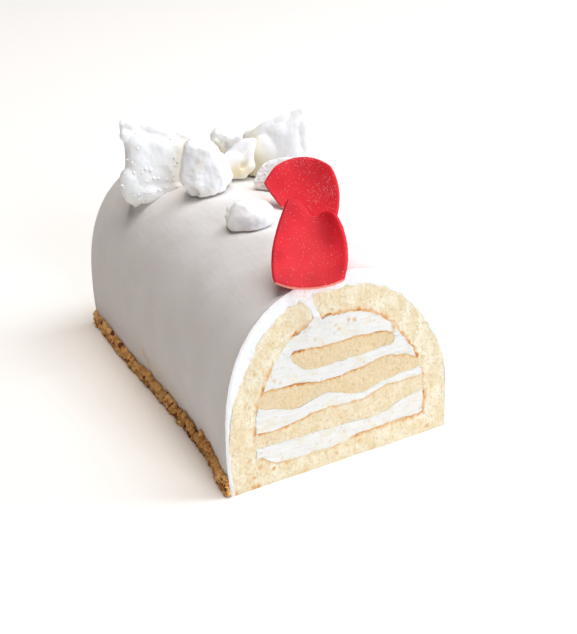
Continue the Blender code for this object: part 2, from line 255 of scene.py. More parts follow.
@dataclass(frozen=True)
class FillingFinish:
    """Cut vanilla cream with dragged crumbs."""

    cream: tuple = (0.75, 0.725, 0.685)
    warm: tuple = (0.74, 0.68, 0.55)
    crumb: tuple = (0.66, 0.40, 0.15)

    def build(self) -> bpy.types.Material:
        """Return the material."""
        s = Shade("filling_cream")
        drag = s.noise(0.0009, 4.0, 0.6, s.stretched((0.22, 1.0, 1.0)))
        grain = s.noise(0.0005, 2.0, 0.6)
        base = s.mix(s.noise(0.005, 3.0).between(0.48, 0.72), self.cream, self.warm)
        base = s.mix((s.layer("browned") * (0.4 + grain)).clamped(), base, self.crumb)
        s.set(Base_Color=base, Roughness=0.45 + 0.25 * drag, Subsurface_Weight=0.25,
              Subsurface_Radius=Vector((0.004, 0.003, 0.0022)), Subsurface_Scale=0.5,
              Specular_IOR_Level=0.4, Normal=s.bump(0.7 * drag + 0.3 * grain, 0.00025, 0.8))
        return s.material


@dataclass(frozen=True)
class SpongeFinish:
    """Open crumb of a light sponge with a thin baked skin."""

    crumb: tuple = (0.76, 0.63, 0.42)
    pale: tuple = (0.82, 0.74, 0.58)
    # deep: random darker flecks, and the painted shade in the pores
    deep: tuple = (0.66, 0.47, 0.22)
    inner: tuple = (0.71, 0.55, 0.34)
    skin: tuple = (0.68, 0.33, 0.10)
    dark_skin: tuple = (0.36, 0.13, 0.035)

    def build(self) -> bpy.types.Material:
        """Return the material."""
        s = Shade("sponge")
        patch = s.noise(0.0045, 3.0)
        fleck = s.noise(0.0012, 3.0, 0.6)
        grain = s.noise(0.0006, 3.0, 0.65)
        holes = 1.0 - s.cells(0.0009).between(0.12, 0.42)
        base = s.mix(patch.between(0.38, 0.66), self.crumb, self.pale)
        base = s.mix(s.layer("inner"), base, self.inner)
        # the deep tone: random darker flecks, and painted shade in the pores by their depth
        flecks_and_pore_shade = 0.55 * fleck.between(0.50, 0.68) + 0.35 * s.layer("pore") + 0.2 * holes * grain
        base = s.mix(flecks_and_pore_shade.clamped(), base, self.deep)
        baked = s.layer("browned")
        base = s.mix((baked * (0.6 + 0.9 * grain)).clamped(), base, self.skin)
        base = s.mix((baked - 0.72).between(0.0, 0.35) * grain.between(0.35, 0.6), base,
                     self.dark_skin)
        height = 0.6 * grain - 0.55 * holes
        s.set(Base_Color=base, Roughness=0.85, Subsurface_Weight=0.2,
              Subsurface_Radius=Vector((0.003, 0.002, 0.001)), Subsurface_Scale=0.5,
              Specular_IOR_Level=0.2, Normal=s.bump(height, 0.0002, 0.8))
        return s.material


@dataclass(frozen=True)
class MeringueFinish:
    """Dry white meringue, a little yellow: partly its own baked tint, partly painted shade at its foot
    and in its hollows.
    """

    white: tuple = (0.91, 0.90, 0.89)
    cream: tuple = (0.86, 0.76, 0.52)

    def build(self) -> bpy.types.Material:
        """Return the material."""
        s = Shade("meringue")
        grain = s.noise(0.0005, 4.0, 0.7)
        lumps = s.noise(0.0022, 3.0)
        # the painted attribute mixes in the cream tint: partly the meringue's own yellow, partly
        # painted shade at its foot and in its hollows
        base = s.mix((s.layer("yellowed") * (0.6 + 0.8 * lumps)).clamped(), self.white, self.cream)
        s.set(Base_Color=base, Roughness=0.62 + 0.25 * grain, Subsurface_Weight=0.35,
              Subsurface_Radius=Vector((0.004, 0.0034, 0.0026)), Subsurface_Scale=0.6,
              Specular_IOR_Level=0.25, Normal=s.bump(0.5 * grain + 0.5 * lumps, 0.00014, 0.7))
        return s.material


@dataclass(frozen=True)
class PetalFinish:
    """Red moulded petal with a satin surface."""

    red: tuple = (0.70, 0.017, 0.028)
    # deep red: random mottling, and the painted shade in the folds
    deep: tuple = (0.52, 0.008, 0.016)
    # pale orange painted glow on the lower rim, standing in for light through the thin edge
    edge: tuple = (0.95, 0.35, 0.28)

    def build(self) -> bpy.types.Material:
        """Return the material."""
        s = Shade("red_petal")
        cloud = s.noise(0.009, 2.0)
        grain = s.noise(0.0005, 3.0, 0.6)
        # painted shade: darker red in the folds and hollows, over random cloudy mottling
        shade = 0.3 * cloud.between(0.40, 0.70) + 1.3 * s.layer("fold")
        base = s.mix(shade.clamped(), self.red, self.deep)
        # painted glow: faces turned down to the foot go pale orange, standing in for light through the
        # thin edge
        base = s.mix(s.layer("rim").clamped(), base, self.edge)
        s.set(Base_Color=base, Roughness=0.52 + 0.15 * grain, Subsurface_Weight=0.15,
              Subsurface_Radius=Vector((0.003, 0.0006, 0.0004)), Subsurface_Scale=0.5,
              Specular_IOR_Level=0.22, Normal=s.bump(0.6 * grain + 0.4 * cloud, 0.00008, 0.6))
        return s.material


@dataclass(frozen=True)
class CrumbFinish:
    """Baked crumbs from pale gold to dark brown."""

    gold: tuple = (0.92, 0.52, 0.18)
    brown: tuple = (0.62, 0.27, 0.07)
    dark: tuple = (0.24, 0.05, 0.02)

    def build(self) -> bpy.types.Material:
        """Return the material."""
        s = Shade("crumbs")
        grain = s.noise(0.0006, 3.0, 0.65)
        tone = s.layer("tone")
        base = s.mix((tone + 0.35 * (grain - 0.5)).between(0.15, 0.75), self.gold, self.brown)
        base = s.mix(tone.between(0.78, 0.9), base, self.dark)
        s.set(Base_Color=base, Roughness=0.8, Subsurface_Weight=0.1,
              Subsurface_Radius=Vector((0.002, 0.001, 0.0005)), Subsurface_Scale=0.5,
              Specular_IOR_Level=0.3, Normal=s.bump(grain, 0.0003, 0.9))
        return s.material


@dataclass(frozen=True)
class SugarFinish:
    """Clear to white sugar grains."""

    white: tuple = (0.97, 0.96, 0.95)
    clear: tuple = (0.90, 0.88, 0.84)

    def build(self) -> bpy.types.Material:
        """Return the material."""
        s = Shade("sugar")
        frost = s.noise(0.0006, 2.0, 0.6)
        s.set(Base_Color=s.mix(frost, self.clear, self.white), Roughness=0.12 + 0.3 * frost,
              Subsurface_Weight=0.4, Subsurface_Radius=Vector((0.002, 0.002, 0.002)),
              Subsurface_Scale=0.5, Specular_IOR_Level=0.6, Normal=s.bump(frost, 0.0001, 0.6))
        return s.material


@dataclass(frozen=True)
class FloorFinish:
    """Pale matte studio paper."""

    tone: tuple = (0.97, 0.92, 0.86)

    def build(self) -> bpy.types.Material:
        """Return the material."""
        s = Shade("studio_paper")
        fibre = s.noise(0.004, 2.0)
        s.set(Base_Color=s.mix(0.04 * fibre, self.tone, (0.85, 0.80, 0.75)), Roughness=0.9,
              Specular_IOR_Level=0.1)
        return s.material


# ---- small tools ---------------------------------------------------------------------------

def smoothstep(low: float, high: float, value: np.ndarray) -> np.ndarray:
    """Return 0 below low, 1 above high and a smooth rise between them."""
    t = np.clip((value - low) / (high - low), 0.0, 1.0)
    return t * t * (3.0 - 2.0 * t)


def ripple(points: np.ndarray, size: float, seed: float = 0.0) -> np.ndarray:
    """Return noise from about -1 to 1 at points (n, 3), with features of that size."""
    shift = np.array((seed * 17.3, seed * 7.9, seed * 3.1))
    return np.array([noise.noise(p) for p in (points / size + shift).tolist()])


def holes(points: np.ndarray, size: float, radius: float, seed: float) -> np.ndarray:
    """Return how deep each point lies in round holes scattered that size apart, from 0 to 1."""
    shift = np.array((seed * 11.7, seed * 5.3, seed * 9.1))
    depths = []
    for p in (points / size + shift).tolist():
        distances, centres = noise.voronoi(p)
        own = radius * (0.35 + 0.65 * noise.cell(centres[0] * 7.31))
        depths.append(max(0.0, 1.0 - (distances[0] / max(own, 0.02)) ** 2))
    return np.sqrt(np.array(depths))


def deselect() -> None:
    """Deselect every object."""
    for item in bpy.context.scene.objects:
        item.select_set(False)


def activate(piece: bpy.types.Object) -> bpy.types.Object:
    """Select one object alone and make it the active one."""
    deselect()
    piece.select_set(True)
    bpy.context.view_layer.objects.active = piece
    return piece


def link(name: str, mesh: bpy.types.Mesh) -> bpy.types.Object:
    """Return a new object with that mesh, in the scene."""
    mesh.name = name
    piece = bpy.data.objects.new(name, mesh)
    bpy.context.scene.collection.objects.link(piece)
    return piece


def copied(node: str, name: str) -> bpy.types.Object:
    """Return a merged copy of a solid's mesh as a new object."""
    piece = link(name, bpy.data.objects[node].data.copy())
    piece.data.materials.clear()
    activate(piece)
    bpy.ops.object.mode_set(mode="EDIT")
    bpy.ops.mesh.select_all(action="SELECT")
    bpy.ops.mesh.remove_doubles(threshold=0.00001)
    bpy.ops.object.mode_set(mode="OBJECT")
    return piece


def apply_modifier(piece: bpy.types.Object, kind: str, **settings: object) -> None:
    """Add a modifier with its settings and apply it."""
    activate(piece)
    modifier = piece.modifiers.new(kind.lower(), kind)
    for key, value in settings.items():
        setattr(modifier, key, value)
    bpy.ops.object.modifier_apply(modifier=modifier.name)


def roughened(piece: bpy.types.Object, kind: str, size: float, strength: float) -> None:
    """Displace a piece by a cloudy or cellular pattern with features of that size."""
    texture = bpy.data.textures.new(piece.name + kind.lower(), kind)
    texture.noise_scale = size
    apply_modifier(piece, "DISPLACE", texture=texture, texture_coords="LOCAL",
                   strength=strength, mid_level=0.5)
    bpy.data.textures.remove(texture)


def points_of(piece: bpy.types.Object) -> np.ndarray:
    """Return the piece's points as (n, 3)."""
    flat = np.empty(len(piece.data.vertices) * 3, np.float32)
    piece.data.vertices.foreach_get("co", flat)
    return flat.reshape(-1, 3).astype(float)


def normals_of(piece: bpy.types.Object) -> np.ndarray:
    """Return the normals at the piece's points as (n, 3)."""
    flat = np.empty(len(piece.data.vertices) * 3, np.float32)
    piece.data.vertices.foreach_get("normal", flat)
    return flat.reshape(-1, 3).astype(float)


def move_points(piece: bpy.types.Object, points: np.ndarray) -> None:
    """Write the piece's points back."""
    piece.data.vertices.foreach_set("co", points.astype(np.float32).ravel())
    piece.data.update()


def paint(piece: bpy.types.Object, name: str, values: np.ndarray) -> None:
    """Store a value per point for the materials to read."""
    layer = piece.data.attributes.new(name, "FLOAT", "POINT")
    layer.data.foreach_set("value", values.astype(np.float32))


def finished(piece: bpy.types.Object, finish: bpy.types.Material, slot: Slot,
             *nodes: str, sharp: float | None = None) -> bpy.types.Object:
    """Dress a piece and let it stand for its solids.

    Args:
        piece: the object.
        finish: its material.
        slot: the record's slot that the finish belongs to; not used.
        nodes: the solids that it replaces.
        sharp: the angle in degrees past which an edge stays sharp, if any does.

    Returns:
        The piece.
    """
    piece.data.materials.clear()
    piece.data.materials.append(finish)
    piece.data.shade_smooth()
    if sharp is not None:
        piece.data.set_sharp_from_angle(angle=math.radians(sharp))
    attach(piece, "root")
    if nodes:
        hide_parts(*nodes)
    faces = sum(len(face.vertices) - 2 for face in piece.data.polygons)
    LOG.info("%s: %d triangles", piece.name, faces)
    return piece


# ---- the cut log ---------------------------------------------------------------------------

def solid_shape(node: str) -> bmesh.types.BMesh:
    """Return a solid's mesh with its loose triangles merged."""
    shape = bmesh.new()
    shape.from_mesh(bpy.data.objects[node].data)
    bmesh.ops.remove_doubles(shape, verts=shape.verts, dist=0.00001)
    return shape


def front_ring(node: str) -> np.ndarray:
    """Return the outline (x, z) of a log solid's front cut, in order."""
    shape = solid_shape(node)
    cap = {face for face in shape.faces if face.normal.y < -0.9}
    follows: dict[int, int] = {}
    for face in cap:
        for loop in face.loops:
            if loop.link_loop_radial_next.face not in cap:
                follows[loop.vert.index] = loop.link_loop_next.vert.index
    start = here = next(iter(follows))
    ring = []
    shape.verts.ensure_lookup_table()
    while True:
        ring.append((shape.verts[here].co.x, shape.verts[here].co.z))
        here = follows[here]
        if here == start:
            break
    shape.free()
    return np.array(ring)


def grown(ring: np.ndarray, distance: float) -> np.ndarray:
    """Return an outline moved out by a distance, its foot kept on the ground."""
    before, after = ring - np.roll(ring, 1, 0), np.roll(ring, -1, 0) - ring
    area = np.sum(ring[:, 0] * np.roll(ring[:, 1], -1) - ring[:, 1] * np.roll(ring[:, 0], -1))
    turn = -1.0 if area > 0 else 1.0
    sides = []
    for step in (before, after):
        unit = step / np.linalg.norm(step, axis=1)[:, None]
        sides.append(np.stack((-unit[:, 1], unit[:, 0]), 1))
    mitre = sides[0] + sides[1]
    mitre /= np.linalg.norm(mitre, axis=1)[:, None]
    reach = distance / np.maximum(np.sum(mitre * sides[1], 1), 0.5)
    moved = ring + turn * mitre * reach[:, None]
    moved[ring[:, 1] < 1e-5, 1] = 0.0
    return moved


def resampled(ring: np.ndarray, spacing: float) -> np.ndarray:
    """Return an outline with points that far apart, its sharp corners kept."""
    after = np.roll(ring, -1, 0) - ring
    heading = np.unwrap(np.arctan2(after[:, 1], after[:, 0]))
    bend = np.abs(np.angle(np.exp(1j * (heading - np.roll(heading, 1)))))
    corners = np.flatnonzero(bend > math.radians(32))
    if len(corners) == 0:
        corners = np.array([0])
    ring = np.roll(ring, -corners[0], 0)
    corners = list(corners - corners[0]) + [len(ring)]
    closed = np.vstack((ring, ring[:1]))
    points = []
    for low, high in zip(corners, corners[1:]):
        run = closed[low:high + 1]
        along = np.concatenate(([0.0], np.cumsum(np.linalg.norm(np.diff(run, axis=0), axis=1))))
        count = max(1, round(along[-1] / spacing))
        at = np.linspace(0.0, along[-1], count + 1)[:-1]
        points.append(np.stack([np.interp(at, along, run[:, axis]) for axis in (0, 1)], 1))
    return np.vstack(points)


def inside(points: np.ndarray, ring: np.ndarray) -> np.ndarray:
    """Return which points (x, z) lie in an outline."""
    found = np.zeros(len(points), bool)
    for (x0, z0), (x1, z1) in zip(ring, np.roll(ring, -1, 0)):
        spans = (z0 > points[:, 1]) != (z1 > points[:, 1])
        if spans.any():
            cross = x0 + (points[:, 1] - z0) * (x1 - x0) / (z1 - z0 if z1 != z0 else 1.0)
            found ^= spans & (points[:, 0] < cross)
    return found


def tree_of(points: np.ndarray) -> KDTree:
    """Return a search tree over points (x, z)."""
    tree = KDTree(len(points))
    for index, (x, z) in enumerate(points):
        tree.insert((x, 0.0, z), index)
    tree.balance()
    return tree


def distances(points: np.ndarray, tree: KDTree) -> tuple[np.ndarray, np.ndarray]:
    """Return each point's distance to the nearest of a tree's points, and which one that is."""
    found = [tree.find((x, 0.0, z)) for x, z in points]
    return np.array([f[2] for f in found]), np.array([f[1] for f in found])


@dataclass
class Cuts:
    """The two slanted cuts across the log, read from the coat's solid."""

    lines: dict = field(default_factory=dict)

    def __post_init__(self) -> None:
        """Fit a line through each end of the coat."""
        shape = solid_shape("cream_coat")
        for end in End:
            flat = {v for f in shape.faces if f.normal.y * end.value > 0.9 for v in f.verts}
            points = np.array([v.co for v in flat])
            slope, start = np.polyfit(points[:, 0], points[:, 1], 1)
            self.lines[end] = (start, slope)
        shape.free()

    def y(self, end: End, x: np.ndarray) -> np.ndarray:
        """Return the Y of a cut at x."""
        start, slope = self.lines[end]
        return start + slope * x

    def outward(self, end: End) -> np.ndarray:
        """Return the unit normal that points out of the log at a cut."""
        normal = np.array((-self.lines[end][1], 1.0, 0.0)) * end.value
        return normal / np.linalg.norm(normal)


@dataclass
class Section:
    """What the cut pieces share: the cuts, and how far in from the coat's arch a point lies."""

    cuts: Cuts = field(default_factory=Cuts)
    arch: np.ndarray = field(default_factory=lambda: np.empty((0, 2)))
    tuck: float = 2.8 * MM

    def __post_init__(self) -> None:
        """Read the coat's outline and keep its outer side."""
        ring = resampled(front_ring("cream_coat"), 0.4 * MM)
        tree = tree_of(resampled(front_ring("sponge_wrap"), 0.4 * MM))
        away, _ = distances(ring, tree)
        self.arch = ring[away > 0.8 * MM]
        self.tree = tree_of(self.arch)

    def depth(self, flat: np.ndarray) -> np.ndarray:
        """Return how far points (x, z) lie in from the arch."""
        return distances(flat, self.tree)[0]

    def wobble(self, flat: np.ndarray, end: End) -> np.ndarray:
        """Return how far the knife has dragged points (x, z) within a cut."""
        deep = self.depth(flat)
        seed = 3.0 + end.value
        spots = np.stack((flat[:, 0], np.zeros(len(flat)), flat[:, 1]), 1)
        size = (0.34 + 0.34 * smoothstep(1.5 * MM, 3.5 * MM, deep)
                * (1 - smoothstep(6 * MM, 9 * MM, deep))) * smoothstep(0.2 * MM, 2.5 * MM, deep)
        parts = []
        for turn in (0.0, 5.0):
            coarse = ripple(spots, 3.2 * MM, seed + turn)
            fine = ripple(spots, 1.2 * MM, seed + turn + 1.0)
            parts.append(size * MM * (1.2 * coarse + 0.75 * fine))
        moved = np.stack(parts, 1)
        moved[:, 1] *= smoothstep(0.0, 1.5 * MM, flat[:, 1])
        return moved

    def tucked(self, points: np.ndarray, share: float | np.ndarray) -> np.ndarray:
        """Return points with the left foot drawn in behind the front corner.

        Args:
            points: the points.
            share: how far along the log they lie, from 0 at the front to 1.

        Returns:
            The moved points.
        """
        low = 1 - smoothstep(3 * MM, 26 * MM, points[:, 2])
        left = 1 - smoothstep(-38 * MM, -24 * MM, points[:, 0])
        along = smoothstep(0.0, 0.20, share) * (1 - smoothstep(0.30, 0.85, share))
        moved = points.copy()
        moved[:, 0] += self.tuck * low * left * along
        return moved


@dataclass(frozen=True)
class Stain:
    """A soft coloured place."""

    at: tuple  # its middle, in mm, or as shares of a solid's box
    reach: float  # mm
    strength: float


def stained(points: np.ndarray, stains: Iterable[Stain]) -> np.ndarray:
    """Return how strongly stains placed in mm colour points."""
    total = np.zeros(len(points))
    for stain in stains:
        away = np.linalg.norm(points / MM - np.array(stain.at), axis=1)
        total += stain.strength * np.exp(-(away / stain.reach) ** 2)
    return total


@dataclass
class CutPiece:
    """One piece that runs through the log from cut to cut."""

    node: str
    section: Section
    spacing: float = 0.36 * MM
    overlap: float = 0.02 * MM

    def relief(self, spots: np.ndarray, edge: np.ndarray, end: End) -> tuple[np.ndarray, dict]:
        """Return how far the cut surface stands out at points, and values to paint there.

        Args:
            spots: the points as (x, 0, z).
            edge: their distance from the piece's own outline.
            end: which cut they lie in.

        Returns:
            The heights in metres and the painted values by name.
        """
        raise NotImplementedError

    def stations(self) -> list[float]:
        """Return how far along the log the walls have a row of points, from 0 to 1."""
        return [0.012, 0.05, 0.10, 0.16, 0.22, 0.3, 0.4, 0.5, 0.6, 0.7, 0.8, 0.94, 0.988]

    def wall(self, ring: np.ndarray, share: float) -> np.ndarray:
        """Return the outline's points at a station."""
        low = self.section.cuts.y(End.FRONT, ring[:, 0])
        high = self.section.cuts.y(End.BACK, ring[:, 0])
        y = low + (high - low) * share
        return self.section.tucked(np.stack((ring[:, 0], y, ring[:, 1]), 1), share)

    def build(self) -> bpy.types.Object:
        """Return the piece: two dense cut faces joined by walls."""
        solid = front_ring(self.node)
        ring = resampled(grown(solid, GAP / 2 + self.overlap), self.spacing)
        slim = resampled(solid, self.spacing)
        slim = slim[[int(i) for i in distances(ring, tree_of(slim))[1]]]
        flat, faces = self.filled(ring)
        edge = distances(flat, tree_of(ring))[0]
        count, total = len(ring), len(flat)
        points, painted, layers = [], [], []
        for end in End:
            moved = flat + self.section.wobble(flat, end)
            moved[flat[:, 1] < 1e-6, 1] = 0.0
            spots = np.stack((flat[:, 0], np.zeros(total), flat[:, 1]), 1)
            height, values = self.relief(spots, edge, end)
            place = np.stack((moved[:, 0], self.section.cuts.y(end, moved[:, 0]), moved[:, 1]), 1)
            points.append(place + self.section.cuts.outward(end) * height[:, None])
            painted.append(values)
        shares = self.stations()
        layers = [self.wall(slim, share) for share in shares]
        rows = [np.arange(count)]
        rows += [2 * total + k * count + np.arange(count) for k in range(len(shares))]
        rows += [total + np.arange(count)]
        quads = []
        for low, high in zip(rows, rows[1:]):
            quads.append(np.stack((low, high, np.roll(high, -1), np.roll(low, -1)), 1))
        triangles = [tuple(face) for face in faces]
        triangles += [tuple(i + total for i in reversed(face)) for face in faces]
        mesh = bpy.data.meshes.new(self.node)
        everything = np.vstack(points + layers)
        mesh.from_pydata(everything.tolist(), [], triangles + np.vstack(quads).tolist())
        piece = link("look_" + self.node, mesh)
        for name in painted[0]:
            values = np.zeros(len(everything))
            values[:total], values[total:2 * total] = painted[0][name], painted[1][name]
            paint(piece, name, values)
        return self.outwards(piece)

    def outwards(self, piece: bpy.types.Object) -> bpy.types.Object:
        """Turn every face outwards."""
        activate(piece)
        bpy.ops.object.mode_set(mode="EDIT")
        bpy.ops.mesh.select_all(action="SELECT")
        bpy.ops.mesh.normals_make_consistent(inside=False)
        bpy.ops.object.mode_set(mode="OBJECT")
        return piece

    def filled(self, ring: np.ndarray) -> tuple[np.ndarray, list]:
        """Return points that fill an outline, the outline's own first, and their triangles."""
        step = self.spacing
        rng = np.random.default_rng(len(ring))
        low, high = ring.min(0), ring.max(0)
        rows = []
        for number, z in enumerate(np.arange(low[1], high[1], step * 0.87)):
            x = np.arange(low[0], high[0], step) + (number % 2) * step / 2
            rows.append(np.stack((x, np.full(len(x), z)), 1))
        grid = np.vstack(rows)
        grid += rng.uniform(-0.12, 0.12, grid.shape) * step
        grid = grid[inside(grid, ring)]
        grid = grid[distances(grid, tree_of(ring))[0] > 0.62 * step]
        flat = np.vstack((ring, grid))
        corners = [Vector(p) for p in (flat / MM).tolist()]
        made = delaunay_2d_cdt(corners, [], [list(range(len(ring)))], 1, 1e-5)
        if len(made[0]) != len(flat):
            raise RuntimeError(f"{self.node}: the cut face came out with other points")
        return flat, made[2]


BROWNED = (
    # x, z, radius, strength, all lengths in mm: where the wrap's inner skin shows browned
    (-8.6, 53.4, 1.6, 0.9), (-5.4, 52.4, 2.0, 1.0), (-1.5, 52.9, 2.4, 0.8), (2.5, 52.8, 2.6, 0.7),
    (6.0, 51.8, 2.4, 0.9), (9.8, 50.7, 2.6, 0.9), (13.8, 49.4, 2.6, 0.7), (17.6, 47.6, 2.2, 1.0),
    (20.0, 45.6, 2.0, 1.1), (22.6, 43.0, 1.8, 0.7), (25.0, 39.8, 2.2, 0.9), (27.0, 36.2, 2.0, 0.9),
    (28.6, 33.0, 2.0, 1.0), (29.8, 30.4, 1.7, 1.1), (30.6, 23.6, 1.5, 0.6), (31.9, 20.8, 1.8, 0.8),
    (32.3, 18.0, 1.4, 0.6), (32.7, 14.2, 2.0, 1.1), (32.7, 11.4, 1.8, 1.0), (32.4, 8.8, 1.6, 0.9),
    (33.5, 6.4, 1.6, 0.7), (-16.6, 50.4, 1.8, 1.1), (-13.2, 50.3, 1.5, 0.7), (-11.4, 53.0, 1.4, 0.5),
    (-27.2, 39.4, 2.2, 0.8), (-28.4, 41.0, 1.6, 0.5), (-29.1, 34.4, 1.2, 0.9), (-28.6, 32.4, 1.2, 0.9),
    (-27.4, 30.8, 2.0, 1.1), (-31.9, 28.8, 1.5, 1.0), (-32.6, 27.6, 1.4, 0.9), (-34.4, 24.8, 1.6, 0.7),
    (-35.6, 23.4, 1.3, 0.6), (-31.9, 19.7, 1.8, 0.9), (-31.2, 18.0, 1.4, 0.7), (-29.4, 9.6, 1.6, 0.6),
    (-25.8, 8.0, 2.6, 0.6), (-21.7, 6.6, 2.2, 0.6), (-12.0, 6.2, 3.0, 0.3), (-3.5, 6.0, 3.0, 0.3),
    (5.8, 8.5, 2.2, 0.9), (9.2, 8.6, 2.4, 1.0), (13.2, 8.3, 2.4, 0.9), (17.4, 8.0, 2.4, 0.6),
    (21.8, 8.2, 2.6, 0.7), (26.8, 8.3, 2.8, 0.8), (31.0, 8.2, 2.4, 1.0),
)
CRUMBS_IN_SPONGE = (
    (-25.9, 5.3, 1.0, 0.8), (-30.6, 7.4, 1.1, 0.6), (-33.1, 3.9, 1.0, 0.7), (-34.6, 10.6, 1.0, 0.5),
    (6.9, 5.0, 1.1, 0.5), (-2.0, 3.2, 0.9, 0.4), (-33.3, 0.6, 1.6, 0.7), (-31.6, 0.5, 1.4, 0.8),
    (-39.6, 0.6, 1.5, 0.7), (-14.0, 0.4, 1.6, 0.4), (12.0, 0.4, 1.8, 0.3), (34.5, 2.0, 1.2, 0.4),
)
CRUMBS_IN_CREAM = (
    (-2.0, 49.0, 0.9, 0.7), (-0.8, 47.3, 1.0, 0.6), (2.9, 49.4, 0.9, 0.7), (5.3, 49.3, 1.1, 0.8),
    (-2.6, 46.3, 0.7, 0.5), (-12.8, 48.0, 0.7, 0.4), (-9.3, 46.0, 0.8, 0.4), (21.0, 45.0, 1.5, 1.1),
    (20.6, 43.6, 1.4, 1.1), (20.2, 42.0, 1.2, 1.0), (19.9, 40.6, 0.9, 0.7), (12.6, 47.0, 0.7, 0.4),
    (-24.6, 36.2, 0.9, 0.5), (-22.8, 34.8, 0.8, 0.5), (0.2, 29.0, 0.7, 0.3), (24.0, 17.0, 0.7, 0.2),
)


def spotted(spots: np.ndarray, marks: Iterable[tuple], spread: float = 1.0) -> np.ndarray:
    """Return how strongly marks (x, z, radius, strength), in mm, colour points (x, 0, z)."""
    total = np.zeros(len(spots))
    for x, z, radius, strength in marks:
        away = np.hypot(spots[:, 0] / MM - x, spots[:, 2] / MM - z)
        total = np.maximum(total, strength * (1 - smoothstep(0.35 * radius, spread * radius, away)))
    return total


@dataclass
class SpongePiece(CutPiece):
    """Sponge, open-pored where it is cut, browned along its skin."""

    skin_marks: tuple = ()
    crumb_marks: tuple = ()
    top_skin: tuple = ()  # strengths of the upper skin at even steps from left to right
    skin_depth: float = 1.35 * MM
    inner: float = 0.0  # how much darker its crumb is, from 0 to 1

    def relief(self, spots: np.ndarray, edge: np.ndarray, end: End) -> tuple[np.ndarray, dict]:
        """Return the crumb's heights, the painted shade in its pores and its browning."""
        seed = 7.0 + 2 * end.value
        pores = 0.34 * holes(spots, 2.6 * MM, 0.42, seed) ** 2
        pores += 0.26 * holes(spots, 1.35 * MM, 0.5, seed + 1)
        pores += 0.20 * holes(spots, 0.8 * MM, 0.55, seed + 2)
        swell = 0.30 * ripple(spots, 8 * MM, seed) + 0.16 * ripple(spots, 2.4 * MM, seed + 3)
        grit = 0.10 * ripple(spots, 0.7 * MM, seed + 4)
        fade = smoothstep(0.0, 0.8 * MM, edge)
        height = (swell + grit - 0.6 * pores * (0.35 + 0.65 * fade)) * MM
        # the pore depth is painted as shade in the pores
        return height, {"pore": np.clip(pores * 1.15, 0, 1), "inner": np.full(len(spots), self.inner),
                        "browned": self.browned(spots, edge, seed)}

    def browned(self, spots: np.ndarray, edge: np.ndarray, seed: float) -> np.ndarray:
        """Return how browned each point is by the skins beside it."""
        ring = resampled(grown(front_ring(self.node), GAP / 2), self.spacing)
        flat = spots[:, [0, 2]]
        _, nearest = distances(flat, tree_of(ring))
        after = np.roll(ring, -1, 0) - np.roll(ring, 1, 0)
        after /= np.linalg.norm(after, axis=1)[:, None]
        area = np.sum(ring[:, 0] * np.roll(ring[:, 1], -1) - ring[:, 1] * np.roll(ring[:, 0], -1))
        upward = (-after[:, 0] if area > 0 else after[:, 0])[nearest]
        rough = ripple(spots, 1.6 * MM, seed + 6)
        ragged = self.skin_depth * (0.9 + 0.75 * rough)
        near = 1 - smoothstep(0.35, 1.0, edge / np.maximum(ragged, 0.2 * MM))
        strength = 0.85 * spotted(spots, self.skin_marks, 1.9)
        if self.top_skin:
            low, high = ring[:, 0].min(), ring[:, 0].max()
            across = np.linspace(low, high, len(self.top_skin))
            strength = np.maximum(strength, np.interp(flat[:, 0], across, self.top_skin)
                                  * smoothstep(0.35, 0.7, upward))
        patchy = 1.05 + 0.5 * ripple(spots, 3.5 * MM, seed + 8)
        return np.clip(near * strength * patchy + spotted(spots, self.crumb_marks), 0, 1.2)


@dataclass
class FillingPiece(CutPiece):
    """Cream between the sponge, dragged across by the knife."""

    crumb_marks: tuple = ()

    def relief(self, spots: np.ndarray, edge: np.ndarray, end: End) -> tuple[np.ndarray, dict]:
        """Return the heights of the drag marks and the crumbs caught in them."""
        seed = 21.0 + 2 * end.value
        long = spots * np.array((0.16, 1.0, 1.0))
        drag = 0.20 * ripple(long, 1.1 * MM, seed) + 0.12 * ripple(long, 0.6 * MM, seed + 1)
        swell = 0.25 * ripple(spots, 6 * MM, seed + 2)
        tears = np.maximum(0.0, ripple(long, 1.9 * MM, seed + 3) - 0.25) * 0.5
        height = (0.10 + drag + swell - tears) * MM
        marks = spotted(spots, self.crumb_marks)
        loose = smoothstep(0.50, 0.62, ripple(spots, 1.0 * MM, seed + 5)) * 0.5
        return height, {"browned": np.clip(marks + loose, 0, 1.2)}


SMEARS = (
    Stain((-42.2, 14.0, 12.0), 2.2, 0.9), Stain((-42.2, 10.0, 10.0), 3.2, 0.6),
    Stain((-42.1, 2.0, 8.5), 4.0, 0.35), Stain((-42.1, -6.0, 9.0), 4.5, 0.30),
    Stain((-42.1, -14.0, 8.5), 4.0, 0.22), Stain((5.5, 9.0, 65.6), 2.2, 0.18),
    Stain((5.3, 4.0, 65.7), 2.2, 0.2), Stain((5.1, -1.0, 65.8), 2.2, 0.18),
)
ROSY = (
    Stain((-16.0, -70.0, 64.0), 4.0, 0.6), Stain((-9.0, -69.0, 64.0), 4.0, 0.7),
    Stain((-3.0, -67.6, 64.0), 3.6, 0.5), Stain((6.0, -64.0, 64.5), 4.5, 0.35),
)


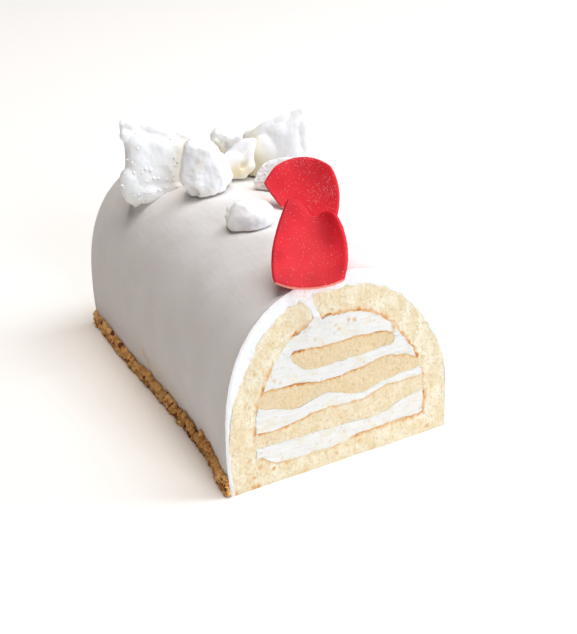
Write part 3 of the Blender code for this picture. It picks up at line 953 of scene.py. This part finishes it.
@dataclass
class CoatPiece(CutPiece):
    """The whipped cream coat, smoothed along its outside."""

    spacing: float = 0.55 * MM
    rows: int = 132

    def relief(self, spots: np.ndarray, edge: np.ndarray, end: End) -> tuple[np.ndarray, dict]:
        """Return the heights of the coat's cut rim, rounded at its outer edge."""
        seed = 31.0 + 2 * end.value
        deep = self.section.depth(spots[:, [0, 2]])
        height = 0.16 * ripple(spots, 3.0 * MM, seed) + 0.08 * ripple(spots, 1.0 * MM, seed + 1)
        height -= 0.35 * (1 - smoothstep(0.0, 0.7 * MM, deep)) ** 2
        cut = smoothstep(0.1 * MM, 0.8 * MM, deep)
        return height * MM, {"browned": np.zeros(len(spots)), "cut": cut}

    def build(self) -> bpy.types.Object:
        """Return the coat with its smears and its pink dust."""
        piece = super().build()
        points = points_of(piece)
        smears = np.maximum(0.0, stained(points, SMEARS) * (0.8 + 0.9 * ripple(points, 1.6 * MM, 45.0)))
        piece.data.attributes["browned"].data.foreach_set("value", np.clip(smears, 0, 1))
        paint(piece, "rosy", np.clip(stained(points, ROSY), 0, 1))
        return piece

    def stations(self) -> list[float]:
        """Return evenly spaced stations."""
        return [(k + 0.5) / self.rows for k in range(self.rows)]

    def wall(self, ring: np.ndarray, share: float) -> np.ndarray:
        """Return the outline at a station, uneven on the outside."""
        points = super().wall(ring, share)
        centre = np.array((0.0, 0.02))
        out = ring - centre
        out /= np.linalg.norm(out, axis=1)[:, None]
        outer = 1 - smoothstep(0.4 * MM, 0.9 * MM, self.section.depth(ring))
        calm = smoothstep(0.0, 0.03, share) * smoothstep(0.0, 0.03, 1 - share)
        swell = 0.34 * ripple(points, 17 * MM, 41.0) + 0.13 * ripple(points, 6 * MM, 42.0)
        swell += 0.05 * ripple(points, 2.2 * MM, 43.0)
        rise = (swell - 0.18) * calm * outer * smoothstep(0.0, 0.012, ring[:, 1]) * MM
        points[:, 0] += out[:, 0] * rise
        points[:, 2] += out[:, 1] * rise
        return points


@dataclass
class Log:
    """The log's cut pieces."""

    section: Section

    def build(self, looks: dict) -> None:
        """Build and dress every piece that runs through the log."""
        pieces = [
            (CoatPiece("cream_coat", self.section), Slot.COAT),
            (SpongePiece("sponge_wrap", self.section, skin_marks=BROWNED,
                         crumb_marks=CRUMBS_IN_SPONGE, skin_depth=1.8 * MM), Slot.SPONGE),
            (SpongePiece("sponge_layer_1", self.section, inner=0.85,
                         top_skin=(1.1, 0.9, 0.75, 0.8, 0.6, 0.75, 0.7)), Slot.SPONGE),
            (SpongePiece("sponge_layer_2", self.section, inner=0.8,
                         top_skin=(0.5, 0.75, 1.0, 0.7, 0.9, 0.6, 0.45, 0.5, 0.4)), Slot.SPONGE),
            (SpongePiece("sponge_layer_3", self.section, inner=0.3,
                         top_skin=(1.0, 0.8, 0.7, 0.6, 0.45, 0.45, 0.5, 0.4, 0.3)), Slot.SPONGE),
            (FillingPiece("cream_layer_1", self.section, crumb_marks=CRUMBS_IN_CREAM), Slot.FILLING),
            (FillingPiece("cream_layer_2", self.section, crumb_marks=CRUMBS_IN_CREAM), Slot.FILLING),
            (FillingPiece("cream_layer_3", self.section, crumb_marks=CRUMBS_IN_CREAM), Slot.FILLING),
            (FillingPiece("cream_layer_4", self.section, crumb_marks=CRUMBS_IN_CREAM), Slot.FILLING),
        ]
        for maker, slot in pieces:
            finished(maker.build(), looks[slot], slot, maker.node, sharp=55)


# ---- toppings ------------------------------------------------------------------------------

@dataclass(frozen=True)
class Dab:
    """A blob added to a topping, or a hollow scooped from it."""

    at: tuple  # its middle, as shares of the solid's box
    radii: tuple  # mm
    lean: float = 0.0  # degrees it leans to the right
    turn: float = -22.0  # degrees it is turned about the upright


@dataclass
class Topping:
    """A meringue piece grown from its solid."""

    node: str
    dabs: tuple = ()
    scoops: tuple = ()
    # stains: hollows and undersides painted yellow, partly the meringue's own tint and partly painted
    # shade
    stains: tuple = ()
    lumps: tuple = ((7.0, 0.5), (2.6, 0.35), (1.1, 0.18))  # size and height in mm
    voxel: float = 0.42 * MM
    smoothing: int = 12
    top_limit: float = 1.0  # share of the box's height above which the tip is pressed down

    def place(self, at: tuple) -> Vector:
        """Return the point at shares of the solid's box."""
        low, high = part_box(self.node)
        return Vector([a + (b - a) * share for a, b, share in zip(low, high, at)])

    def blob(self, dab: Dab) -> bpy.types.Object:
        """Return an egg-shaped blob."""
        deselect()
        turn = (0.0, math.radians(dab.lean), math.radians(dab.turn))
        bpy.ops.mesh.primitive_uv_sphere_add(segments=20, ring_count=12, radius=1.0,
                                             location=self.place(dab.at), rotation=turn,
                                             scale=[r * MM for r in dab.radii])
        return bpy.context.active_object

    def build(self) -> bpy.types.Object:
        """Return the piece: its blobs joined, remeshed, scooped, smoothed and roughened."""
        piece = copied(self.node, "look_" + self.node)
        blobs = [self.blob(dab) for dab in self.dabs]
        activate(piece)
        for item in blobs:
            item.select_set(True)
        bpy.ops.object.join()
        apply_modifier(piece, "REMESH", mode="VOXEL", voxel_size=self.voxel)
        for dab in self.scoops:
            cutter = self.blob(dab)
            apply_modifier(piece, "BOOLEAN", operation="DIFFERENCE", object=cutter)
            mesh = cutter.data
            bpy.data.objects.remove(cutter)
            bpy.data.meshes.remove(mesh)
        if self.scoops:
            apply_modifier(piece, "REMESH", mode="VOXEL", voxel_size=self.voxel)
        self.press(piece)
        apply_modifier(piece, "SMOOTH", factor=0.5, iterations=self.smoothing)
        for number, (size, height) in enumerate(self.lumps):
            points, normals = points_of(piece), normals_of(piece)
            rise = ripple(points, size * MM, 50.0 + number) * height * MM
            move_points(piece, points + normals * rise[:, None])
        # paints the yellow tint, partly painted shade at the foot and in the hollows
        paint(piece, "yellowed", self.yellowed(points_of(piece)))
        return piece

    def press(self, piece: bpy.types.Object) -> None:
        """Press down what stands above the top limit."""
        low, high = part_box(self.node)
        limit = low[2] + (high[2] - low[2]) * self.top_limit
        points = points_of(piece)
        over = np.maximum(points[:, 2] - limit, 0.0)
        points[:, 2] -= 0.55 * over
        move_points(piece, points)

    def yellowed(self, points: np.ndarray) -> np.ndarray:
        """Return how yellow each point is painted, most at the foot and in the stains: painted shade at
        the foot, and in the stains partly the meringue's own yellow and partly painted shade.
        """
        low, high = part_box(self.node)
        # painted shade: yellower towards the foot, where the piece sits in its own shade on the coat
        foot = 1 - smoothstep(0.0, 0.30, (points[:, 2] - low[2]) / (high[2] - low[2]))
        total = 0.25 * foot + 0.10 * ripple(points, 6 * MM, 61.0)
        for stain in self.stains:
            away = np.linalg.norm(points - np.array(self.place(stain.at)), axis=1) / MM
            total = total + stain.strength * np.exp(-(away / stain.reach) ** 2)
        return np.clip(total, 0.0, 1.0)


# Each topping's stains sit on shaded hollows and undersides: painted shade as well as some of the
# meringue's own yellow.
TOPPINGS = (
    Topping("meringue_wing_left", lumps=((9.0, 0.5), (3.2, 0.18), (1.2, 0.06)), smoothing=11, dabs=(
        Dab((0.15, 0.68, 0.905), (3.0, 2.2, 1.9), lean=-20.0),
        Dab((0.08, 0.62, 0.81), (2.0, 2.4, 2.4)), Dab((0.79, 0.60, 0.80), (1.6, 1.5, 1.0)),
        Dab((0.38, 0.66, 0.81), (10.0, 3.2, 5.0), lean=17.0),
        Dab((0.66, 0.62, 0.73), (7.0, 3.2, 5.0), lean=12.0),
        Dab((0.10, 0.46, 0.22), (5.0, 4.2, 7.5), lean=-14.0), Dab((0.26, 0.30, 0.16), (8.5, 4.4, 4.4)),
        Dab((0.50, 0.22, 0.20), (7.5, 4.4, 4.0)), Dab((0.36, 0.50, 0.52), (8.5, 4.2, 9.0))),
        stains=(Stain((0.84, 0.25, 0.42), 7.0, 1.0), Stain((0.70, 0.10, 0.18), 4.5, 0.7),
                Stain((0.85, 0.30, 0.65), 4.0, 0.5))),
    Topping("meringue_wing_right", lumps=((9.0, 0.4), (3.2, 0.16), (1.2, 0.08)), smoothing=11, dabs=(
        Dab((0.46, 0.60, 0.74), (9.5, 3.0, 4.2), lean=-32.0),
        Dab((0.68, 0.45, 0.82), (6.0, 2.8, 4.2), lean=-30.0),
        Dab((0.86, 0.345, 0.875), (4.8, 2.6, 4.0), lean=-24.0),
        Dab((0.87, 0.22, 0.64), (3.6, 2.8, 10.5), lean=4.0), Dab((0.40, 0.44, 0.55), (6.5, 3.4, 8.0)),
        Dab((0.62, 0.36, 0.66), (6.5, 3.2, 8.0))),
        stains=(Stain((0.22, 0.55, 0.50), 7.5, 1.0), Stain((0.35, 0.40, 0.36), 6.0, 0.8),
                Stain((0.30, 0.62, 0.72), 4.0, 0.4))),
    Topping("meringue_bud_front", lumps=((5.0, 0.3), (1.7, 0.18), (0.9, 0.12)), smoothing=7, dabs=(
        Dab((0.24, 0.40, 0.87), (3.4, 2.6, 2.5)), Dab((0.44, 0.28, 0.82), (3.8, 2.4, 2.1), lean=12.0),
        Dab((0.68, 0.24, 0.67), (3.6, 2.2, 2.0), lean=30.0)),
        scoops=(Dab((0.21, 0.19, 0.66), (2.0, 1.6, 1.9)), Dab((0.06, 0.20, 0.10), (4.0, 4.0, 3.6)),
                Dab((0.98, 0.20, 0.08), (4.0, 4.0, 4.4))),
        stains=(Stain((0.92, 0.35, 0.70), 2.4, 0.8), Stain((0.25, 0.10, 0.66), 2.0, 0.6))),
    Topping("meringue_bud_middle", lumps=((4.0, 0.3), (1.5, 0.24), (0.8, 0.14)), smoothing=6, dabs=(
        Dab((0.44, 0.42, 0.76), (4.6, 3.6, 3.4)), Dab((0.74, 0.34, 0.66), (3.4, 3.0, 3.2)),
        Dab((0.26, 0.34, 0.58), (2.8, 2.6, 3.6))),
        stains=(Stain((0.12, 0.10, 0.52), 2.8, 0.9), Stain((0.40, 0.10, 0.36), 2.6, 0.5))),
    Topping("meringue_bud_right", lumps=((4.0, 0.25), (1.6, 0.14), (0.8, 0.06)), smoothing=9, dabs=(
        Dab((0.52, 0.36, 0.78), (6.6, 2.6, 2.5), lean=-36.0), Dab((0.34, 0.30, 0.62), (3.8, 2.4, 2.2))),
        scoops=(Dab((0.66, 0.02, 0.46), (4.2, 1.6, 1.5), lean=-24.0),),
        stains=(Stain((0.60, 0.10, 0.30), 4.0, 0.75), Stain((0.30, 0.10, 0.26), 3.2, 0.75))),
    Topping("meringue_drop", lumps=((6.0, 0.25), (1.8, 0.14), (0.8, 0.06)), smoothing=9, dabs=(
        Dab((0.54, 0.50, 0.43), (8.2, 7.6, 5.2)), Dab((0.16, 0.72, 0.66), (1.4, 1.3, 1.1)),
        Dab((0.10, 0.62, 0.46), (1.3, 1.3, 1.2)), Dab((0.24, 0.50, 0.70), (1.1, 1.0, 0.9))),
        stains=(Stain((0.12, 0.55, 0.30), 2.6, 0.4),)),
    Topping("petal_white", lumps=((4.0, 0.25), (1.2, 0.26)), smoothing=6,
        stains=(Stain((0.10, 0.70, 0.30), 3.5, 0.6),)),
)


@dataclass(frozen=True)
class Pull:
    """A soft pull on a petal, in mm."""

    at: tuple
    reach: float
    shift: tuple


@dataclass
class PetalPiece:
    """A moulded petal grown from its solid."""

    node: str
    folds: tuple  # where shade is painted darker in its folds and hollows, in mm
    pulls: tuple = ()
    trim: tuple = ()  # a point in mm and an outward direction of a straight edge
    voxel: float = 0.34 * MM
    regained: float = 0.22 * MM  # how far the skin is moved back out after smoothing
    downwards: tuple = (-0.34, -0.76, -0.55)  # from its tip to its foot; faces turned this way get the painted glow on the rim

    def build(self) -> bpy.types.Object:
        """Return the petal, smoothed, with painted shade in its folds and a painted glow on its lower
        rim.
        """
        piece = copied(self.node, "look_" + self.node)
        apply_modifier(piece, "REMESH", mode="VOXEL", voxel_size=self.voxel)
        apply_modifier(piece, "SMOOTH", factor=0.5, iterations=14)
        points, normals = points_of(piece), normals_of(piece)
        rise = self.regained + 0.10 * MM * ripple(points, 5 * MM, 81.0)
        moved = points + normals * rise[:, None]
        for pull in self.pulls:
            away = np.linalg.norm(points / MM - np.array(pull.at), axis=1)
            moved += np.array(pull.shift) * MM * np.exp(-(away / pull.reach) ** 2)[:, None]
        move_points(piece, moved)
        if self.trim:
            self.cut(piece)
        points, normals = points_of(piece), normals_of(piece)
        # painted glow on the lower rim, on the faces turned down towards the foot
        paint(piece, "rim", 0.8 * smoothstep(0.55, 0.85, normals @ np.array(self.downwards)))
        # painted shade in the folds and hollows
        paint(piece, "fold", stained(points, self.folds))
        return piece

    def cut(self, piece: bpy.types.Object) -> None:
        """Cut the petal off straight along its trim."""
        activate(piece)
        bpy.ops.object.mode_set(mode="EDIT")
        bpy.ops.mesh.select_all(action="SELECT")
        bpy.ops.mesh.bisect(plane_co=[c * MM for c in self.trim[0]], plane_no=self.trim[1],
                            use_fill=True, clear_outer=True)
        bpy.ops.object.mode_set(mode="OBJECT")


# each petal's Stains mark where shade is painted darker in its folds and hollows
PETALS = (
    PetalPiece("petal_front", (
        Stain((-0.6, -56.5, 81.5), 3.4, 0.75), Stain((-0.8, -60.0, 78.5), 3.0, 0.75),
        Stain((-1.5, -63.5, 75.5), 2.6, 0.45), Stain((-11.0, -51.8, 85.0), 4.5, 0.65),
        Stain((-15.1, -55.9, 80.7), 4.0, 0.6), Stain((-19.6, -61.9, 73.7), 3.2, 0.6),
        Stain((-19.5, -68.0, 68.0), 4.0, 0.5), Stain((-0.5, -73.0, 69.7), 3.4, 0.35),
        Stain((-11.0, -71.0, 67.0), 4.0, 0.4)),
        pulls=(Pull((-7.6, -53.3, 84.0), 3.2, (0.5, 0.5, 1.9)),)),
    PetalPiece("petal_rear", (
        Stain((20.1, -3.0, 76.6), 4.8, 0.55), Stain((16.0, 1.4, 79.5), 3.0, 0.3),
        Stain((23.0, -6.0, 72.0), 3.5, 0.3)),
        pulls=(Pull((4.2, 0.0, 72.6), 5.0, (-2.1, 0.9, -0.3)),
               Pull((13.2, -9.2, 64.0), 3.4, (0.0, -0.9, -2.2))),
        trim=((3.1, 0.2, 72.5), (-0.90, -0.09, -0.376))),
)


# ---- sugar and crumbs ----------------------------------------------------------------------

def pebble(faces: int, rng: np.random.Generator) -> tuple[np.ndarray, np.ndarray]:
    """Return one uneven grain of unit size as points and triangles."""
    deselect()
    bpy.ops.mesh.primitive_ico_sphere_add(subdivisions=faces, radius=1.0)
    made = bpy.context.active_object
    points = points_of(made)
    points *= 1.0 + rng.uniform(-0.28, 0.28, (len(points), 1))
    points *= rng.uniform(0.65, 1.25, 3)
    triangles = np.array([face.vertices[:] for face in made.data.polygons])
    mesh = made.data
    bpy.data.objects.remove(made)
    bpy.data.meshes.remove(mesh)
    return points, triangles


def turned(rng: np.random.Generator) -> np.ndarray:
    """Return a random rotation."""
    q = rng.normal(size=4)
    q /= np.linalg.norm(q)
    w, x, y, z = q
    return np.array(((1 - 2 * (y * y + z * z), 2 * (x * y - z * w), 2 * (x * z + y * w)),
                     (2 * (x * y + z * w), 1 - 2 * (x * x + z * z), 2 * (y * z - x * w)),
                     (2 * (x * z - y * w), 2 * (y * z + x * w), 1 - 2 * (x * x + y * y))))


def joined(name: str, places: np.ndarray, sizes: np.ndarray, detail: int, seed: int,
           tones: np.ndarray | None = None) -> bpy.types.Object:
    """Return many uneven grains as one mesh.

    Args:
        name: the piece's name.
        places: the middle of each grain.
        sizes: the radius of each grain.
        detail: how finely a grain is divided.
        seed: what the random draws start from.
        tones: a value per grain to paint on it, if any.

    Returns:
        The piece.
    """
    rng = np.random.default_rng(seed)
    kinds = [pebble(detail, rng) for _ in range(9)]
    points, faces, tone, start = [], [], [], 0
    for index, (place, size) in enumerate(zip(places, sizes)):
        shape, triangles = kinds[rng.integers(len(kinds))]
        points.append(shape @ turned(rng).T * size + place)
        faces.append(triangles + start)
        tone.append(np.full(len(shape), 0.5 if tones is None else tones[index]))
        start += len(shape)
    mesh = bpy.data.meshes.new(name)
    mesh.from_pydata(np.vstack(points).tolist(), [], np.vstack(faces).tolist())
    piece = link(name, mesh)
    paint(piece, "tone", np.concatenate(tone))
    return piece


def surface_spots(piece: bpy.types.Object, count: int, rng: np.random.Generator,
                  wanted: Callable[[np.ndarray, np.ndarray], np.ndarray]) -> tuple:
    """Return random places on a piece and their normals, thinned by a chance.

    Args:
        piece: the object to scatter over.
        count: how many places to draw before thinning.
        rng: the source of chance.
        wanted: gives the chance of keeping each place from places and normals.

    Returns:
        The places and the normals.
    """
    mesh = piece.data
    mesh.calc_loop_triangles()
    corners = np.array([t.vertices[:] for t in mesh.loop_triangles])
    points, normals = points_of(piece), normals_of(piece)
    a, b, c = (points[corners[:, k]] for k in range(3))
    area = np.linalg.norm(np.cross(b - a, c - a), axis=1)
    chosen = rng.choice(len(corners), count, p=area / area.sum())
    u, v = rng.random(count), rng.random(count)
    over = u + v > 1
    u[over], v[over] = 1 - u[over], 1 - v[over]
    places = a[chosen] + (b - a)[chosen] * u[:, None] + (c - a)[chosen] * v[:, None]
    facing = normals[corners[chosen, 0]]
    kept = rng.random(count) < wanted(places, facing)
    return places[kept], facing[kept]


@dataclass
class Crumbs:
    """Baked crumbs pressed along the foot of the log."""

    section: Section
    seed: int = 5
    tall_front: float = 6.5 * MM
    tall_back: float = 4.5 * MM

    def build(self) -> bpy.types.Object:
        """Return the crumbs as one mesh."""
        rng = np.random.default_rng(self.seed)
        places, sizes, shares = [], [], []
        half = abs(self.section.arch[:, 0].min())
        low, high = self.section.cuts.y(End.FRONT, -half), self.section.cuts.y(End.BACK, -half)
        for _ in range(1500):
            share = rng.random()
            tall = self.tall_front + (self.tall_back - self.tall_front) * share
            tall *= 0.95 + 0.55 * noise.noise((share * 22.0, 3.0, 0.0))
            size = (0.42 + 0.95 * rng.random() ** 2) * MM
            z = size * 0.8 + (tall - size) * rng.random() ** 1.1
            out = rng.uniform(-0.7, 0.55) * MM * (1.1 - 0.7 * z / tall)
            y = low + (high - low) * share
            places.append((-half - out, min(max(y, low + size), high - size), z))
            sizes.append(size)
            shares.append(share)
        places = self.section.tucked(np.array(places), np.array(shares))
        sizes = np.array(sizes)
        tones = 0.35 + 0.5 * ripple(places, 4 * MM, 71.0) + rng.normal(0, 0.2, len(sizes))
        tones = np.clip(tones, 0, 1)
        tones[rng.random(len(tones)) < 0.05] = 0.95
        return joined("cake_crumbs", places, sizes, 2, self.seed, tones)


SUGARED = (
    (Stain((-8.0, -65.0, 71.5), 6.0, 0.20),),
    (Stain((13.0, 3.0, 80.5), 4.0, 0.45), Stain((19.0, 1.5, 79.5), 4.0, 0.45),
     Stain((21.0, -8.0, 70.5), 4.5, 0.85)),
)


@dataclass
class Sugar:
    """Sugar grains on the meringue and fine specks on the petals."""

    seed: int = 9

    def build(self, wing: bpy.types.Object, white_petal: bpy.types.Object, petals: list) -> list:
        """Return the grains and the specks."""
        rng = np.random.default_rng(self.seed)
        places, facing = surface_spots(wing, 620, rng, lambda p, n: np.where(
            n[:, 1] < -0.1, 0.07 + 0.65 * (1 - smoothstep(0.060, 0.080, p[:, 2])), 0.03))
        sizes = (0.26 + 0.5 * rng.random(len(places)) ** 2) * MM
        rims, outward = surface_spots(white_petal, 900, rng, lambda p, n: np.full(len(p), 0.8))
        places = np.vstack((places + facing * 0.06 * MM, rims + outward * 0.05 * MM))
        sizes = np.concatenate((sizes, (0.15 + 0.25 * rng.random(len(rims)) ** 2) * MM))
        grains = joined("sugar_grains", places, sizes, 1, self.seed)
        spots, lift = [], []
        for petal, sugared, elsewhere in zip(petals, SUGARED, (0.07, 0.10)):
            p, n = surface_spots(petal, 4200, rng, lambda p, n: np.where(
                n[:, 1] < 0, elsewhere + stained(p, sugared), 0.02))
            spots.append(p + n * 0.02 * MM)
            lift.append(rng.uniform(0.04, 0.10, len(p)) * MM)
        specks = joined("sugar_specks", np.vstack(spots), np.concatenate(lift), 1, self.seed + 1)
        return [grains, specks]


# ---- studio --------------------------------------------------------------------------------

@dataclass
class Studio:
    """Floor, lights and camera."""

    camera_place: tuple = (-0.17872417, -0.46382241, 0.24593779)
    camera_right: tuple = (0.92217122, -0.38602022, -0.0242616)
    camera_up: tuple = (0.17797237, 0.36779689, 0.91271643)
    lens: float = 86.278
    lamp_away: float = 2.5
    lamps: tuple = (
        # name, degrees round to the right, degrees up, side, watts, colour
        ("top", 0.0, 88.0, 1.4, 41.0, (1.05, 1.0, 0.96)),
        ("high_right", 80.0, 60.0, 1.2, 27.0, (0.89, 1.0, 1.13)),
        ("low_right", 75.0, 18.0, 1.0, 26.0, (0.91, 1.0, 1.11)),
        ("front", 8.0, 22.0, 1.2, 28.0, (0.91, 1.0, 1.11)),
    )

    def build(self) -> None:
        """Set the studio up."""
        self.add_floor()
        for lamp in self.lamps:
            self.add_light(*lamp)
        world = bpy.data.worlds.new("studio")
        world.use_nodes = True
        world.node_tree.nodes["Background"].inputs["Color"].default_value = (0.0, 0.0, 0.0, 1.0)
        bpy.context.scene.world = world
        bpy.context.scene.view_settings.view_transform = "Standard"
        self.add_camera()

    def add_floor(self) -> None:
        """Add the pale floor."""
        deselect()
        bpy.ops.mesh.primitive_plane_add(size=6.0, location=(0.0, 0.0, 0.0))
        floor = bpy.context.active_object
        floor.name = "studio_floor"
        floor.data.materials.append(FloorFinish().build())

    def add_light(self, name: str, turn: float, rise: float, size: float, power: float,
                  colour: tuple) -> None:
        """Add a square soft light that faces the cake.

        Args:
            name: its name.
            turn: degrees round from the front towards the right.
            rise: degrees above the floor.
            size: side of the square.
            power: watts.
            colour: its colour.
        """
        a, e = math.radians(turn), math.radians(rise)
        towards = Vector((math.sin(a) * math.cos(e), -math.cos(a) * math.cos(e), math.sin(e)))
        lamp = bpy.data.lights.new(name, "AREA")
        lamp.shape, lamp.size, lamp.energy = "SQUARE", size, power
        lamp.color = colour
        item = bpy.data.objects.new(name, lamp)
        bpy.context.scene.collection.objects.link(item)
        item.location = towards * self.lamp_away + Vector((0.0, 0.0, 0.03))
        item.rotation_euler = towards.to_track_quat("Z", "Y").to_euler()

    def add_camera(self) -> None:
        """Add the camera and look through it."""
        right, up = Vector(self.camera_right), Vector(self.camera_up)
        turn = Matrix((right, up, right.cross(up))).transposed().to_4x4()
        turn.translation = self.camera_place
        camera = bpy.data.cameras.new("camera")
        camera.lens, camera.sensor_width, camera.clip_start = self.lens, 36.0, 0.01
        item = bpy.data.objects.new("camera", camera)
        bpy.context.scene.collection.objects.link(item)
        item.matrix_world = turn
        bpy.context.scene.camera = item


def main() -> None:
    """Build the cake's looks."""
    logging.basicConfig(level=logging.INFO, format="%(message)s")
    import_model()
    looks = {Slot.COAT: CoatFinish().build(), Slot.FILLING: FillingFinish().build(),
             Slot.SPONGE: SpongeFinish().build(), Slot.MERINGUE: MeringueFinish().build(),
             Slot.PETAL: PetalFinish().build(), Slot.CRUMBS: CrumbFinish().build(),
             Slot.SUGAR: SugarFinish().build()}
    section = Section()
    Log(section).build(looks)
    made = {}
    for topping in TOPPINGS:
        made[topping.node] = finished(topping.build(), looks[Slot.MERINGUE], Slot.MERINGUE,
                                      topping.node)
    for petal in PETALS:
        made[petal.node] = finished(petal.build(), looks[Slot.PETAL], Slot.PETAL, petal.node)
    finished(Crumbs(section).build(), looks[Slot.CRUMBS], Slot.CRUMBS)
    petals = [made[petal.node] for petal in PETALS]
    for piece in Sugar().build(made["meringue_wing_left"], made["petal_white"], petals):
        finished(piece, looks[Slot.SUGAR], Slot.SUGAR)
    Studio().build()


if __name__ == "__main__":
    main()
